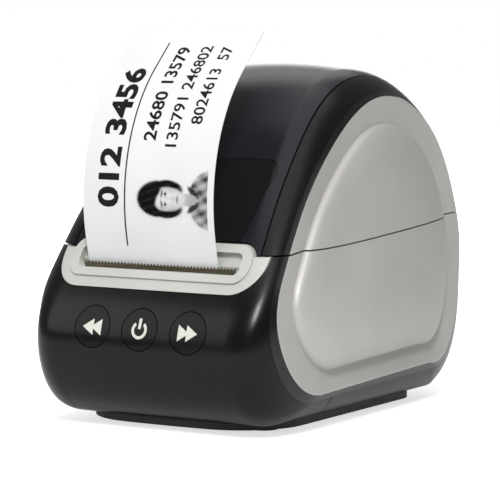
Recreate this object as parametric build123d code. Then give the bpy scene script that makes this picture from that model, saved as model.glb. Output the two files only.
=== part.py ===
from build123d import *
from math import acos, atan2, cos, hypot, pi, radians, sin, sqrt, tan
import os

os.makedirs("parts", exist_ok=True)

# Label printer. X runs to the viewer's right, the front looks towards -Y, Z is up.
# The places below are measured from the middle of the side panels. The finished pieces are
# saved from the middle of the overall depth, with the table under the feet as the zero level.
middle_shift = 1.1
table_z = 3.0

# Body form: the side view at mid width and at the rim of the side panels, as (y, z) pairs,
# with the share of the way that each pair has moved at the crown line, and the power of the
# turn from there to the rim (a high power gives a tight edge)
body_form = [
    # middle, rim, crown share, edge power
    ((-66.0, 6.5), (-52.1, 18.1), 0.03, 3.0),
    ((-87.5, 16.0), (-73.2, 27.7), 0.03, 3.2),
    ((-94.0, 39.0), (-81.4, 47.4), 0.03, 3.2),
    ((-81.5, 64.0), (-71.7, 68.0), 0.04, 3.0),
    ((-66.0, 87.0), (-55.2, 88.7), 0.08, 2.6),
    ((-47.0, 111.0), (-34.0, 107.8), 0.11, 2.4),
    ((-20.0, 135.5), (-3.4, 126.0), 0.14, 2.2),
    ((18.0, 144.5), (30.6, 130.1), 0.16, 2.2),
    ((58.0, 133.0), (62.6, 113.1), 0.13, 2.4),
    ((84.0, 108.0), (75.4, 88.8), 0.08, 2.6),
    ((92.0, 66.0), (77.1, 61.7), 0.05, 3.0),
    ((86.0, 29.0), (63.3, 29.9), 0.03, 3.2),
    ((62.5, 6.5), (41.5, 20.6), 0.03, 3.0),
]
lean = 0.095
lean_from_z = 40.0
crown_x = 36.0
form_centre = (0.0, 72.0)
panel_centre = (4.0, 68.0)
rim_x = 54.5
panel_rim = 2.0
wall = 2.4
side_wall = 2.5
shell_gap = 0.3

# Parting lines
split_front_z = 70.5
split_middle_z = 76.4
split_rear_z = 82.7
split_reach = 110.0
cover_seam_x = 45.0
seam_gap = 0.6
front_seam_y = -40.0

# Side panel pillow
moat_inset = 10.0
moat_depth = 1.5
pillow_height = 7.0

# Cover hinge, on straps at the rear
hinge_y = 86.0
hinge_z = 58.0
hinge_pin_radius = 2.0
hinge_clearance = 0.06
strap_inner_x = 24.0
strap_width = 14.0
strap_gap = 0.5
barrel_radius = 5.6
ear_thickness = 3.5

# Cover window
window_half_top = 37.0
window_half_bottom = 31.0
window_top_z = 107.5
window_bottom_z = 70.0
window_gap = 0.15

# Exit bezel
bezel_half_width = 46.0
bezel_bottom_z = 58.2
bezel_corner = 12.0
bezel_stand = 0.5
ring_half_width = 40.3
ring_bottom_z = 62.4
ring_top_z = 76.4
ring_corner = 6.0
ring_width = 4.0
ring_sill = 2.8
ring_stand = 1.5
bar_thickness = 0.6
tooth_pitch = 1.5
tooth_depth = 1.2

# Labels: strip, roll and spool
label_left_x = -33.8
label_width = 59.0
label_thickness = 0.3
label_exit_angle = 103.0
label_curl_radius = 68.0
label_curl_angle = 60.0
label_tail = 21.5
label_exit_z = 77.0
roll_y = 24.0
roll_z = 84.0
roll_radius = 44.0
roll_side_margin = 1.0
core_radius = 14.3
core_wall = 1.6
spindle_radius = 12.4
axle_radius = 4.0
axle_clearance = 0.06
flange_radius = 36.0
flange_thickness = 2.0
guide_gap = 0.4
guide_hub_length = 3.5
guide_travel = 6.0
web_gap = 0.3

# Frame that carries roll, platen and motor
cheek_inner_x = 39.5
cheek_thickness = 2.5
cheek_top_z = 90.0
trough_radius = 48.0
trough_wall = 2.0
ramp_gap = 2.2
ramp_front_y = -57.0

# Platen, thermal head and gears
platen_y = -67.5
platen_z = 56.0
platen_radius = 6.0
platen_half_length = 37.0
platen_shaft_radius = 3.0
bush_wall = 2.0
bush_clearance = 0.05
gear_module = 0.8
gear_width = 4.0
gear_backlash = 0.16
gear_gap = 1.0
platen_teeth = 20
idler_teeth = 28
pinion_teeth = 14
motor_y = -46.0
motor_z = 28.0
motor_radius = 12.5
motor_length = 14.0
motor_shaft_radius = 1.0
idler_pin_radius = 2.0
head_length = 68.0
element_thickness = 1.2
sink_thickness = 2.6
fin_height = 2.6
fin_count = 9
head_above_nip = 4.4
head_below_nip = 9.0

# Buttons on the nose of the front panel
button_z = 43.5
button_spacing = 21.5
button_radius = 7.8
button_gap = 0.35
button_back_y = -89.0
button_stem_radius = 2.5
button_stem_end_y = -88.0
button_travel = 0.8

# Tray, feet and screws under the body
tray_half_width = 45.0
tray_front_y = -75.0
tray_rear_y = 56.0
tray_front_corner = 28.0
tray_corner = 16.0
tray_bulge = 3.0
tray_bottom_z = table_z + 1.6
tray_floor = 2.2
tray_top_z = table_z + 8.0
tray_wall = 2.0
foot_radius = 6.0
foot_x = 31.0
foot_front_y = -52.0
foot_rear_y = 31.0
screw_x = 37.6
screw_front_y = -26.0
screw_rear_y = 40.0
screw_head_radius = 2.8
screw_shank_radius = 1.4
screw_top_z = table_z + 16.0
post_radius = 4.2

# Boards and sockets
board_z = table_z + 10.4
board_thickness = 1.6
board_half_width = 33.0
board_front_y = -14.0
board_rear_y = 64.0
bay_left_x = -36.0
bay_right_x = 14.0
bay_bottom_z = table_z + 10.0
bay_top_z = table_z + 27.0
bay_plate_y = 69.5
bay_plate = 2.5
inlet_x = -24.0
port_x = 2.0
socket_width = 10.0
socket_height = 11.0
socket_gap = 0.2

far = 200.0


# General helpers
def block(x0, x1, y0, y1, z0, z1):
    return Pos((x0 + x1) / 2, (y0 + y1) / 2, (z0 + z1) / 2) * Box(x1 - x0, y1 - y0, z1 - z0)


def side_plane(x):
    return Plane(origin=(x, 0, 0), x_dir=(0, 1, 0), z_dir=(1, 0, 0))


def rod_x(radius, x0, x1, y, z):
    return extrude(side_plane(x0) * Pos(y, z) * Circle(radius), x1 - x0)


def rod_y(radius, y0, y1, x, z):
    plane = Plane(origin=(x, y0, z), x_dir=(1, 0, 0), z_dir=(0, 1, 0))
    return extrude(plane * Circle(radius), y1 - y0)


def rod_z(radius, z0, z1, x, y):
    return Pos(x, y, (z0 + z1) / 2) * Cylinder(radius, z1 - z0)


def profile_x(points, x0, x1):
    outline = make_face(Polyline(*points, close=True))
    return extrude(side_plane(x0) * outline, x1 - x0)


def front_cut(outline, y0=-far / 2, y1=-60.0):
    # A sketch drawn in (x, z), pushed through from the front
    plane = Plane(origin=(0, y1, 0), x_dir=(1, 0, 0), z_dir=(0, -1, 0))
    return extrude(plane * outline, y1 - y0)


def mirror_x(shape):
    return mirror(shape, about=Plane.YZ)


def save(shape, name):
    solids = [Pos(0, middle_shift, -table_z) * solid for solid in shape.solids()]
    whole = solids[0] if len(solids) == 1 else Compound(children=solids)
    whole.label = name
    export_step(whole, f"parts/{name}.step")


# Body form
def middle_knots():
    run = [0.0]
    for first, second in zip(body_form, body_form[1:]):
        run.append(run[-1] + hypot(second[0][0] - first[0][0], second[0][1] - first[0][1]))
    return [length / run[-1] for length in run]


form_knots = middle_knots()


def rim_share(x, crown, power):
    # A shallow crown out to the crown line, then a turn that starts along the same slope
    if x <= crown_x:
        return crown * (x / crown_x) ** 2
    straight = crown * (1 + 2 * (x - crown_x) / crown_x)
    left_over = 1 - crown * (1 + 2 * (rim_x - crown_x) / crown_x)
    return straight + left_over * ((x - crown_x) / (rim_x - crown_x)) ** power


def width_share(z):
    # The side panels lean inwards towards the top
    return 1 - lean * (z - lean_from_z) / rim_x


def wedge(x0, x1, y0=-far, y1=far):
    # A block whose side faces lean as the side panels do
    low = -far / 4
    corners = [(x0, low), (x1, low), (x1, far), (x0, far)]
    outline = [(x * width_share(z), z) for x, z in corners]
    plane = Plane(origin=(0, y1, 0), x_dir=(1, 0, 0), z_dir=(0, -1, 0))
    return extrude(plane * make_face(Polyline(*outline, close=True)), y1 - y0)


def form_points(x, inset=0.0):
    points = []
    for middle, rim, crown, power in body_form:
        share = rim_share(abs(x), crown, power)
        y = middle[0] + (rim[0] - middle[0]) * share
        z = middle[1] + (rim[1] - middle[1]) * share
        reach = hypot(y - form_centre[0], z - form_centre[1])
        keep = 1 - inset / reach
        y = form_centre[0] + (y - form_centre[0]) * keep
        z = form_centre[1] + (z - form_centre[1]) * keep
        points.append((x * width_share(z), y, z))
    return points


def closed_section(points):
    # The same knots in every section keep the lofted skin smooth between them
    over = Edge.make_spline([Vector(*point) for point in points], parameters=form_knots)
    under = Edge.make_line(Vector(*points[-1]), Vector(*points[0]))
    return Wire([over, under])


def form_section(x, inset=0.0):
    return closed_section(form_points(x, inset))


def form_solid(half_width, inset=0.0):
    middle = Solid.make_loft([form_section(x, inset) for x in (-crown_x, 0.0, crown_x)])
    steps = [crown_x + (half_width - crown_x) * share for share in (0.0, 0.28, 0.55, 0.79, 1.0)]
    right = Solid.make_loft([form_section(x, inset) for x in steps])
    return middle + right + mirror(right, about=Plane.YZ)


def side_outline(scale_factor, x):
    points = []
    for _, rim, _, _ in body_form:
        y = panel_centre[0] + (rim[0] - panel_centre[0]) * scale_factor
        z = panel_centre[1] + (rim[1] - panel_centre[1]) * scale_factor
        points.append((x * width_share(z), y, z))
    return closed_section(points)


outer_form = form_solid(rim_x)
inner_half = rim_x - panel_rim - side_wall
inner_form = form_solid(inner_half, wall)
shell_half = rim_x - panel_rim


def split_face(shift):
    arc = ThreePointArc(
        (-split_reach, split_front_z + shift),
        (0, split_middle_z + shift),
        (split_reach, split_rear_z + shift),
    )
    rise = Line((split_reach, split_rear_z + shift), (split_reach, far))
    top = Line((split_reach, far), (-split_reach, far))
    fall = Line((-split_reach, far), (-split_reach, split_front_z + shift))
    return make_face([arc, rise, top, fall])


above_split = extrude(side_plane(-far / 2) * split_face(shell_gap), far)
not_below = extrude(side_plane(-far / 2) * split_face(-shell_gap), far)

core_form = outer_form & wedge(-shell_half, shell_half)
shell = core_form - inner_form
upper_shell = shell & above_split
lower_shell = shell - not_below


# Hinge: straps hang from the cover's rear wall and turn about pins in ears on the base
strap_outer_x = strap_inner_x + strap_width
barrel_bore = hinge_pin_radius + hinge_clearance
ear_outer_x = strap_outer_x + strap_gap + ear_thickness
ear_inner_x = strap_inner_x - strap_gap - ear_thickness
rear_reach = max(middle[0] for middle, _, _, _ in body_form) + 4
strap_foot_gap = 0.6
strap_swing_share = 2.6


def strap_zone(margin):
    x0 = strap_inner_x - margin
    x1 = strap_outer_x + margin
    column = block(x0, x1, hinge_y - 4, rear_reach, hinge_z, split_rear_z + 4)
    foot_radius = barrel_radius + strap_foot_gap + strap_swing_share * margin
    foot = rod_x(foot_radius, x0, x1, hinge_y, hinge_z)
    return column + foot


def hinge_strap():
    leaf = strap_zone(0) & shell & block(0, far, hinge_y, far, 0, split_rear_z + 3)
    barrel = rod_x(barrel_radius, strap_inner_x, strap_outer_x, hinge_y, hinge_z)
    bore = rod_x(barrel_bore, strap_inner_x - 1, strap_outer_x + 1, hinge_y, hinge_z)
    return leaf + barrel - bore


def hinge_ears():
    ears = block(ear_inner_x, ear_outer_x, hinge_y - barrel_radius, far, hinge_z - 7, hinge_z + 7)
    ears = ears & core_form
    middle = block(strap_inner_x - strap_gap, strap_outer_x + strap_gap, 0, far, 0, far)
    bore = rod_x(hinge_pin_radius + hinge_clearance / 2, 0, 60, hinge_y, hinge_z)
    return ears - middle - bore


def hinge_pins():
    pin = rod_x(hinge_pin_radius, ear_inner_x, ear_outer_x, hinge_y, hinge_z)
    return Compound(children=[pin, mirror_x(pin)])


# Exit bezel: a pale plate with a raised ring round the label slot
def plate_outline(margin=0.0):
    top = split_rear_z
    height = top - bezel_bottom_z + margin
    corner = bezel_corner + margin
    half = bezel_half_width + margin
    body = Rectangle(2 * half, height, align=(Align.CENTER, Align.MIN))
    lower = body.vertices().group_by(Axis.Y)[0]
    return Pos(0, bezel_bottom_z - margin) * fillet(lower, corner)


def ring_outline(margin=0.0):
    width = 2 * (ring_half_width + margin)
    height = ring_top_z - ring_bottom_z + 2 * margin
    middle = (ring_top_z + ring_bottom_z) / 2
    return Pos(0, middle) * RectangleRounded(width, height, ring_corner + margin)


def ring_opening():
    width = 2 * (ring_half_width - ring_width)
    bottom = ring_bottom_z + ring_sill
    top = ring_top_z - ring_width + 1
    return Pos(0, (top + bottom) / 2) * RectangleRounded(width, top - bottom, 2.6)


exit_lean = tan(radians(label_exit_angle - 90))
web_radius = platen_radius + web_gap + label_thickness / 2
exit_normal = (-cos(radians(label_exit_angle - 90)), -sin(radians(label_exit_angle - 90)))
nip_y = platen_y + exit_normal[0] * web_radius
nip_z = platen_z + exit_normal[1] * web_radius
ring_floor_z = ring_bottom_z + ring_sill
slot_half = 0.8


def web_y(z):
    return nip_y - (z - nip_z) * exit_lean


def throat_back():
    bottom = ring_floor_z - 3
    lip = ring_floor_z + 2.6
    top = ring_top_z - ring_width + 1.3
    points = [
        (web_y(bottom) + slot_half, bottom),
        (web_y(lip) + slot_half, lip),
        (web_y(top) + 5.0, top),
        (web_y(top) + 7.4, top - 1.2),
        (web_y(bottom) + slot_half + 2.4, bottom),
    ]
    half = ring_half_width - ring_width + 1.5
    return profile_x(points, -half, half)


def throat_sill():
    top = ring_floor_z
    bottom = ring_floor_z - 4.2
    points = [
        (web_y(top) - slot_half - 4.8, top - 2.6),
        (web_y(top) - slot_half - 3.4, top),
        (web_y(top) - slot_half, top),
        (web_y(top - 2.6) - slot_half, top - 2.6),
        (web_y(bottom) - slot_half - 2.6, bottom),
    ]
    half = ring_half_width - ring_width + 1.5
    return profile_x(points, -half, half)


def exit_bezel():
    stood = Pos(0, -bezel_stand, 0) * outer_form
    plate = (stood & front_cut(plate_outline())) - not_below
    raised = Pos(0, -ring_stand, 0) * outer_form
    ring = raised & front_cut(ring_outline())
    body = plate + ring - inner_form
    body = body - front_cut(ring_opening())
    return body + throat_back() + throat_sill()


def tear_bar():
    # A thin toothed strip stands on the sill, just in front of the slot, its teeth upwards
    length = 2 * (ring_half_width - ring_width) - 4.0
    count = int(length // tooth_pitch)
    start = -count * tooth_pitch / 2
    height = 2.4
    points = [(-start, 0), (start, 0), (start, height)]
    for tooth in range(count):
        points.append((start + (tooth + 0.5) * tooth_pitch, height - tooth_depth))
        points.append((start + (tooth + 1) * tooth_pitch, height))
    foot_y = web_y(ring_floor_z) - slot_half - 2.4
    plane = Plane(
        origin=(0, foot_y, ring_floor_z + 0.1),
        x_dir=(1, 0, 0),
        z_dir=(0, -cos(radians(33)), sin(radians(33))),
    )
    return extrude(plane * make_face(Polyline(*points, close=True)), bar_thickness)


# Cover
def window_outline(margin=0.0):
    points = [
        (-window_half_bottom - margin, window_bottom_z - margin),
        (window_half_bottom + margin, window_bottom_z - margin),
        (window_half_top + margin, window_top_z + margin),
        (-window_half_top - margin, window_top_z + margin),
    ]
    outline = make_face(Polyline(*points, close=True))
    upper = outline.vertices().group_by(Axis.Y)[-1]
    return fillet(upper, 5.0 + margin)


centre_half = cover_seam_x - seam_gap / 2
centre_zone = wedge(-centre_half, centre_half)
window_reach = -24.0


def cover_centre():
    body = upper_shell & centre_zone
    body = body - front_cut(window_outline(window_gap), y1=window_reach)
    body = body - front_cut(ring_outline(0.8))
    strap = hinge_strap()
    return body + strap + mirror_x(strap)


def cover_window():
    pane = upper_shell & front_cut(window_outline(), y1=window_reach)
    return pane - front_cut(ring_outline(0.8))


def cover_side():
    return upper_shell & wedge(cover_seam_x + seam_gap / 2, far / 2)


# Silver side panels: a rim that follows the body form, a sloping moat and a domed pillow
def dome_x(share):
    base = rim_x - moat_depth
    return base + (pillow_height + moat_depth) * (1 - share ** 3.4) ** 0.45


def side_panel():
    rim = outer_form & wedge(shell_half + 0.1, far / 2)
    outline_reach = 57.0
    outer_scale = 1 - 0.8 / outline_reach
    inner_scale = 1 - moat_inset / outline_reach
    moat = Solid.make_loft([
        side_outline(inner_scale, rim_x - moat_depth),
        side_outline(outer_scale, rim_x),
    ])
    pillow = rim - moat
    for shares in ((1.0, 0.985, 0.95, 0.89, 0.8), (0.8, 0.62, 0.4, 0.12)):
        pillow += Solid.make_loft([side_outline(inner_scale * share, dome_x(share)) for share in shares])
    return pillow


whole_panel = side_panel()


# Base shells
tray_zone_margin = 0.3
switch_y = button_stem_end_y + button_travel + 0.3
switch_depth = 3.6
button_board_y = switch_y + switch_depth + 0.05
button_board_half = button_spacing + 9
board_post_radius = 2.0
board_post_places = [(side * (button_board_half - 3.5), 30.5) for side in (-1, 1)]
board_post_places += [(side * button_spacing / 2, button_z + 2) for side in (-1, 1)]


def tray_outline(inset=0.0):
    x = tray_half_width - inset
    front = tray_front_y + inset
    rear = tray_rear_y - inset
    corner = tray_corner - inset
    front_edge = ThreePointArc(
        (-x, front + tray_bulge),
        (0, front),
        (x, front + tray_bulge),
    )
    sides = Polyline((x, front + tray_bulge), (x, rear), (-x, rear), (-x, front + tray_bulge))
    outline = make_face([front_edge, sides])
    outline = fillet(outline.vertices().group_by(Axis.Y)[-1], corner)
    return fillet(outline.vertices().group_by(Axis.Y)[0], tray_front_corner - inset)


def tray_cut():
    return extrude(tray_outline(-tray_zone_margin), tray_top_z + 1)


def front_panel():
    body = lower_shell & block(-far, far, -far, front_seam_y - seam_gap / 2, -far, far)
    body = body - front_cut(plate_outline(0.35)) - tray_cut()
    body = body - front_cut(ring_outline(0.5))
    for place in (-1, 0, 1):
        hole = rod_y(button_radius + button_gap, -far, -80, place * button_spacing, button_z)
        body = body - hole
    for x, z in board_post_places:
        post = rod_y(board_post_radius, -far, button_board_y, x, z) & outer_form
        body = body + post
    return body


def base_housing():
    body = lower_shell & block(-far, far, front_seam_y + seam_gap / 2, far, -far, far)
    body = body - tray_cut()
    for side in (1, -1):
        notch = strap_zone(strap_gap)
        body = body - (notch if side == 1 else mirror_x(notch))
    swept = hypot(rear_reach - hinge_y - 4, split_rear_z - hinge_z - 2)
    top_corner = rod_x(far / 2, -far, far, hinge_y, hinge_z)
    top_corner = top_corner - rod_x(swept - 0.9, -far, far, hinge_y, hinge_z)
    body = body - (top_corner & block(-far, far, hinge_y, far, split_middle_z, far))
    ears = hinge_ears()
    bores = rod_x(hinge_pin_radius + hinge_clearance / 2, ear_inner_x, ear_outer_x, hinge_y, hinge_z)
    body = body + ears + mirror_x(ears) - bores - mirror_x(bores)
    bay = block(bay_left_x - 2, bay_right_x + 2, bay_plate_y, far, bay_bottom_z - 2, bay_top_z + 2)
    body = body + (bay & core_form)
    body = body - block(bay_left_x, bay_right_x, bay_plate_y + bay_plate, far, bay_bottom_z, bay_top_z)
    for x in (inlet_x, port_x):
        half = socket_width / 2 + socket_gap
        bottom = board_z + board_thickness - socket_gap
        top = bottom + socket_height + 2 * socket_gap
        body = body - block(x - half, x + half, bay_plate_y - 1, bay_plate_y + bay_plate + 1, bottom, top)
    return body


# Tray, feet and screws
screw_places = [(x, y) for x in (-screw_x, screw_x) for y in (screw_front_y, screw_rear_y)]
foot_places = [(x, y) for x in (-foot_x, foot_x) for y in (foot_front_y, foot_rear_y)]
tray_inside_z = tray_bottom_z + tray_floor


def bottom_tray():
    tub = Pos(0, 0, tray_bottom_z) * extrude(tray_outline(), tray_top_z - tray_bottom_z)
    tub = tub - Pos(0, 0, tray_inside_z) * extrude(tray_outline(tray_wall), tray_top_z)
    for x, y in screw_places:
        tub = tub - rod_z(screw_head_radius + 0.2, 0, tray_bottom_z + 1.2, x, y)
        tub = tub - rod_z(screw_shank_radius + 0.1, 0, tray_top_z, x, y)
    for x, y in foot_places:
        tub = tub - rod_z(foot_radius, 0, tray_bottom_z + 0.8, x, y)
    for x in (-board_half_width + 4, board_half_width - 4):
        for y in (board_front_y + 4, tray_rear_y - 8):
            tub = tub + rod_z(2.4, tray_bottom_z + 1, board_z, x, y)
    return tub


def rubber_feet():
    return Compound(children=[rod_z(foot_radius, table_z, tray_bottom_z + 0.8, x, y) for x, y in foot_places])


def tray_screws():
    screws = []
    for x, y in screw_places:
        head = rod_z(screw_head_radius, tray_bottom_z + 0.1, tray_bottom_z + 1.2, x, y)
        drive = rod_z(0.9, tray_bottom_z, tray_bottom_z + 0.7, x, y)
        shank = rod_z(screw_shank_radius, tray_bottom_z + 1, screw_top_z, x, y)
        screws.append(head + shank - drive)
    return Compound(children=screws)


# Labels
def web_tangent():
    # Where the web leaves the underside of the roll and meets the underside of the platen
    dy = roll_y - platen_y
    dz = roll_z - platen_z
    lean = atan2(dz, dy)
    turn = acos((platen_radius - roll_radius) / hypot(dy, dz))
    return lean - turn


web_normal_angle = web_tangent()
web_normal = (cos(web_normal_angle), sin(web_normal_angle))


def along(y, z, normal, distance):
    return (y + normal[0] * distance, z + normal[1] * distance)


def web_edges(shift):
    # One face of the paper, shifted from its middle away from the rollers
    reach = web_gap + label_thickness / 2 + shift
    start = along(roll_y, roll_z, web_normal, roll_radius + reach)
    under = along(platen_y, platen_z, web_normal, platen_radius + reach)
    middle = (web_normal_angle + radians(label_exit_angle + 90)) / 2 - pi
    if cos(middle) > 0:
        middle += pi
    front = along(platen_y, platen_z, (cos(middle), sin(middle)), platen_radius + reach)
    leave = along(platen_y, platen_z, exit_normal, platen_radius + reach)
    rise = (label_exit_z - nip_z) / sin(radians(label_exit_angle))
    heading = radians(label_exit_angle)
    curl = along(leave[0], leave[1], (cos(heading), sin(heading)), rise)
    centre = along(curl[0], curl[1], exit_normal, -(label_curl_radius + shift))
    points = []
    for share in (0.5, 1.0):
        turned = heading + pi / 2 - radians(label_curl_angle) * share
        ray = (cos(turned), sin(turned))
        points.append(along(centre[0], centre[1], ray, label_curl_radius + shift))
    out = heading - radians(label_curl_angle)
    tail = along(points[1][0], points[1][1], (cos(out), sin(out)), label_tail)
    return [
        Line(start, under),
        ThreePointArc(under, front, leave),
        Line(leave, curl),
        ThreePointArc(curl, points[0], points[1]),
        Line(points[1], tail),
    ]


def label_strip():
    inner = web_edges(-label_thickness / 2)
    outer = web_edges(label_thickness / 2)
    ends = [Line(inner[0] @ 0, outer[0] @ 0), Line(inner[-1] @ 1, outer[-1] @ 1)]
    face = make_face(inner + outer + ends)
    return extrude(side_plane(label_left_x) * face, label_width)


roll_left_x = label_left_x - roll_side_margin
roll_right_x = label_left_x + label_width + roll_side_margin


def label_roll():
    roll = rod_x(roll_radius, roll_left_x, roll_right_x, roll_y, roll_z)
    return roll - rod_x(core_radius, roll_left_x - 1, roll_right_x + 1, roll_y, roll_z)


def label_core():
    core = rod_x(core_radius, roll_left_x, roll_right_x, roll_y, roll_z)
    return core - rod_x(core_radius - core_wall, roll_left_x - 1, roll_right_x + 1, roll_y, roll_z)


axle_end_x = cheek_inner_x + cheek_thickness + 0.3
guide_x = roll_right_x + guide_gap
guide_end_x = guide_x + flange_thickness + guide_hub_length


def spool_spindle():
    flange_x = roll_left_x - 0.2 - flange_thickness
    flange = rod_x(flange_radius, flange_x, flange_x + flange_thickness, roll_y, roll_z)
    shaft = rod_x(spindle_radius, flange_x, guide_end_x + guide_travel + 0.6, roll_y, roll_z)
    axle = rod_x(axle_radius, -axle_end_x, axle_end_x, roll_y, roll_z)
    spindle = flange + shaft + axle
    for turn in range(5):
        angle = radians(72 * turn + 18)
        reach = (spindle_radius + flange_radius) / 2
        y = roll_y + reach * cos(angle)
        z = roll_z + reach * sin(angle)
        spindle = spindle - rod_x(7.0, flange_x - 1, flange_x + flange_thickness + 1, y, z)
    return spindle


def guide_flange():
    disc = rod_x(flange_radius, guide_x, guide_x + flange_thickness, roll_y, roll_z)
    hub = rod_x(spindle_radius + 2.4, guide_x, guide_end_x, roll_y, roll_z)
    bore = rod_x(spindle_radius + 0.06, guide_x - 1, guide_end_x + 1, roll_y, roll_z)
    guide = disc + hub - bore
    for turn in range(5):
        angle = radians(72 * turn + 18)
        reach = (spindle_radius + flange_radius) / 2
        y = roll_y + reach * cos(angle)
        z = roll_z + reach * sin(angle)
        guide = guide - rod_x(7.0, guide_x - 1, guide_x + flange_thickness + 1, y, z)
    return guide


# Frame: two cheeks, a trough under the roll and a ramp for the paper
cheek_outer_x = cheek_inner_x + cheek_thickness
idler_pin_x = cheek_outer_x + gear_gap + gear_width + 0.6


def pitch_radius(teeth):
    return teeth * gear_module / 2


def idler_place():
    from_pinion = pitch_radius(pinion_teeth) + pitch_radius(idler_teeth) + 0.1
    from_platen = pitch_radius(platen_teeth) + pitch_radius(idler_teeth) + 0.1
    dy = platen_y - motor_y
    dz = platen_z - motor_z
    span = hypot(dy, dz)
    foot = (from_pinion ** 2 - from_platen ** 2 + span ** 2) / (2 * span)
    rise = sqrt(from_pinion ** 2 - foot ** 2)
    y = motor_y + dy / span * foot + dz / span * rise
    z = motor_z + dz / span * foot - dy / span * rise
    return y, z


idler_y, idler_z = idler_place()


def cheek():
    points = [
        (-70, 20), (-77, 42), (-77, 57), (-70, 67), (-24, 68.5), (4, cheek_top_z), (44, cheek_top_z),
        (62, 66), (64, 34), (54, 15), (44, 13.5), (44, tray_inside_z + 0.1), (-49, tray_inside_z + 0.1),
        (-49, 13), (-60, 14),
    ]
    plate = profile_x(points, cheek_inner_x, cheek_outer_x)
    slot_radius = axle_radius + axle_clearance
    x0 = cheek_inner_x - 1
    x1 = cheek_outer_x + 1
    slot = rod_x(slot_radius, x0, x1, roll_y, roll_z)
    slot += block(x0, x1, roll_y - slot_radius, roll_y + slot_radius, roll_z, cheek_top_z + 1)
    bush = rod_x(platen_shaft_radius + bush_wall, x0, x1, platen_y, platen_z)
    shaft = rod_x(motor_shaft_radius + 1.5, x0, x1, motor_y, motor_z)
    window = rod_x(14, x0, x1, 30, 32)
    return plate - slot - bush - shaft - window


def ramp_points():
    top = roll_radius + web_gap + label_thickness + ramp_gap
    near = along(roll_y, roll_z, web_normal, top)
    direction = (web_normal[1], -web_normal[0])
    run = (ramp_front_y - near[0]) / direction[0]
    front = along(near[0], near[1], direction, run)
    lower_front = along(front[0], front[1], web_normal, trough_wall)
    lower_near = along(near[0], near[1], web_normal, trough_wall)
    return [near, front, lower_front, lower_near]


def trough():
    start = web_normal_angle
    sweep = radians(75)
    inner = []
    outer = []
    near_radius = roll_radius + web_gap + label_thickness + ramp_gap
    for share in (0, 0.5, 1):
        ray = (cos(start + sweep * share), sin(start + sweep * share))
        inner.append(along(roll_y, roll_z, ray, near_radius))
        outer.append(along(roll_y, roll_z, ray, near_radius + trough_wall))
    face = make_face([
        ThreePointArc(*inner),
        Line(inner[2], outer[2]),
        ThreePointArc(*outer),
        Line(outer[0], inner[0]),
    ])
    return extrude(side_plane(-cheek_inner_x) * face, 2 * cheek_inner_x)


def roll_cradle():
    side = cheek()
    posts = rod_z(post_radius, tray_inside_z + 0.1, screw_top_z + 2, screw_x, screw_front_y)
    posts += rod_z(post_radius, tray_inside_z + 0.1, screw_top_z + 2, screw_x, screw_rear_y)
    bore = rod_z(screw_shank_radius + 0.05, 0, screw_top_z + 0.5, screw_x, screw_front_y)
    bore += rod_z(screw_shank_radius + 0.05, 0, screw_top_z + 0.5, screw_x, screw_rear_y)
    side = side + posts - bore
    frame = side + mirror_x(side) + trough() + profile_x(ramp_points(), -cheek_inner_x, cheek_inner_x)
    idler_pin = rod_x(idler_pin_radius, cheek_outer_x, idler_pin_x, idler_y, idler_z)
    return frame + idler_pin


# Platen, gears and motor
def involute(angle):
    return tan(angle) - angle


def gear(teeth, phase, x0):
    pitch = pitch_radius(teeth)
    base = pitch * cos(radians(20))
    tip = pitch + 0.9 * gear_module
    root = pitch - 1.2 * gear_module
    half = pi / (2 * teeth) - gear_backlash / (2 * pitch) + involute(radians(20))
    flank = []
    for radius in (max(root, base), pitch, tip):
        flank.append((radius, half - involute(acos(min(1.0, base / radius)))))
    if root < base:
        flank.insert(0, (root, flank[0][1]))
    points = []
    for tooth in range(teeth):
        middle = phase + 2 * pi * tooth / teeth
        for radius, offset in flank:
            points.append((radius * cos(middle - offset), radius * sin(middle - offset)))
        for radius, offset in reversed(flank):
            points.append((radius * cos(middle + offset), radius * sin(middle + offset)))
    return extrude(make_face(Polyline(*points, close=True)), gear_width), x0


def place_gear(teeth, phase, y, z, bore):
    body, _ = gear(teeth, phase, 0)
    body = body - Cylinder(bore, 3 * gear_width)
    return Plane(origin=(cheek_outer_x + gear_gap, y, z), x_dir=(0, 1, 0), z_dir=(1, 0, 0)) * body


def meshed_phase(phase, teeth, other_teeth, heading):
    # Phase of a gear that meshes with one placed at the given heading from it
    pitch = 2 * pi / teeth
    share = (heading - phase) / pitch
    other_pitch = 2 * pi / other_teeth
    return heading + pi - (0.5 - share) * other_pitch


idler_phase = 0.0
to_platen = atan2(platen_z - idler_z, platen_y - idler_y)
to_motor = atan2(motor_z - idler_z, motor_y - idler_y)
platen_phase = meshed_phase(idler_phase, idler_teeth, platen_teeth, to_platen)
pinion_phase = meshed_phase(idler_phase, idler_teeth, pinion_teeth, to_motor)


def platen_roller():
    sleeve = rod_x(platen_radius, -platen_half_length, platen_half_length, platen_y, platen_z)
    x = platen_half_length + 1
    return sleeve - rod_x(platen_shaft_radius, -x, x, platen_y, platen_z)


def platen_shaft():
    end = cheek_outer_x + gear_gap + gear_width + 0.6
    return rod_x(platen_shaft_radius, -cheek_outer_x - 2, end, platen_y, platen_z)


def platen_bushings():
    outer = platen_shaft_radius + bush_wall
    ring = rod_x(outer, cheek_inner_x - 0.6, cheek_outer_x, platen_y, platen_z)
    ring += rod_x(outer + 1, cheek_inner_x - 1.4, cheek_inner_x - 0.1, platen_y, platen_z)
    ring -= rod_x(platen_shaft_radius + bush_clearance, 0, far, platen_y, platen_z)
    return Compound(children=[ring, mirror_x(ring)])


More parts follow.
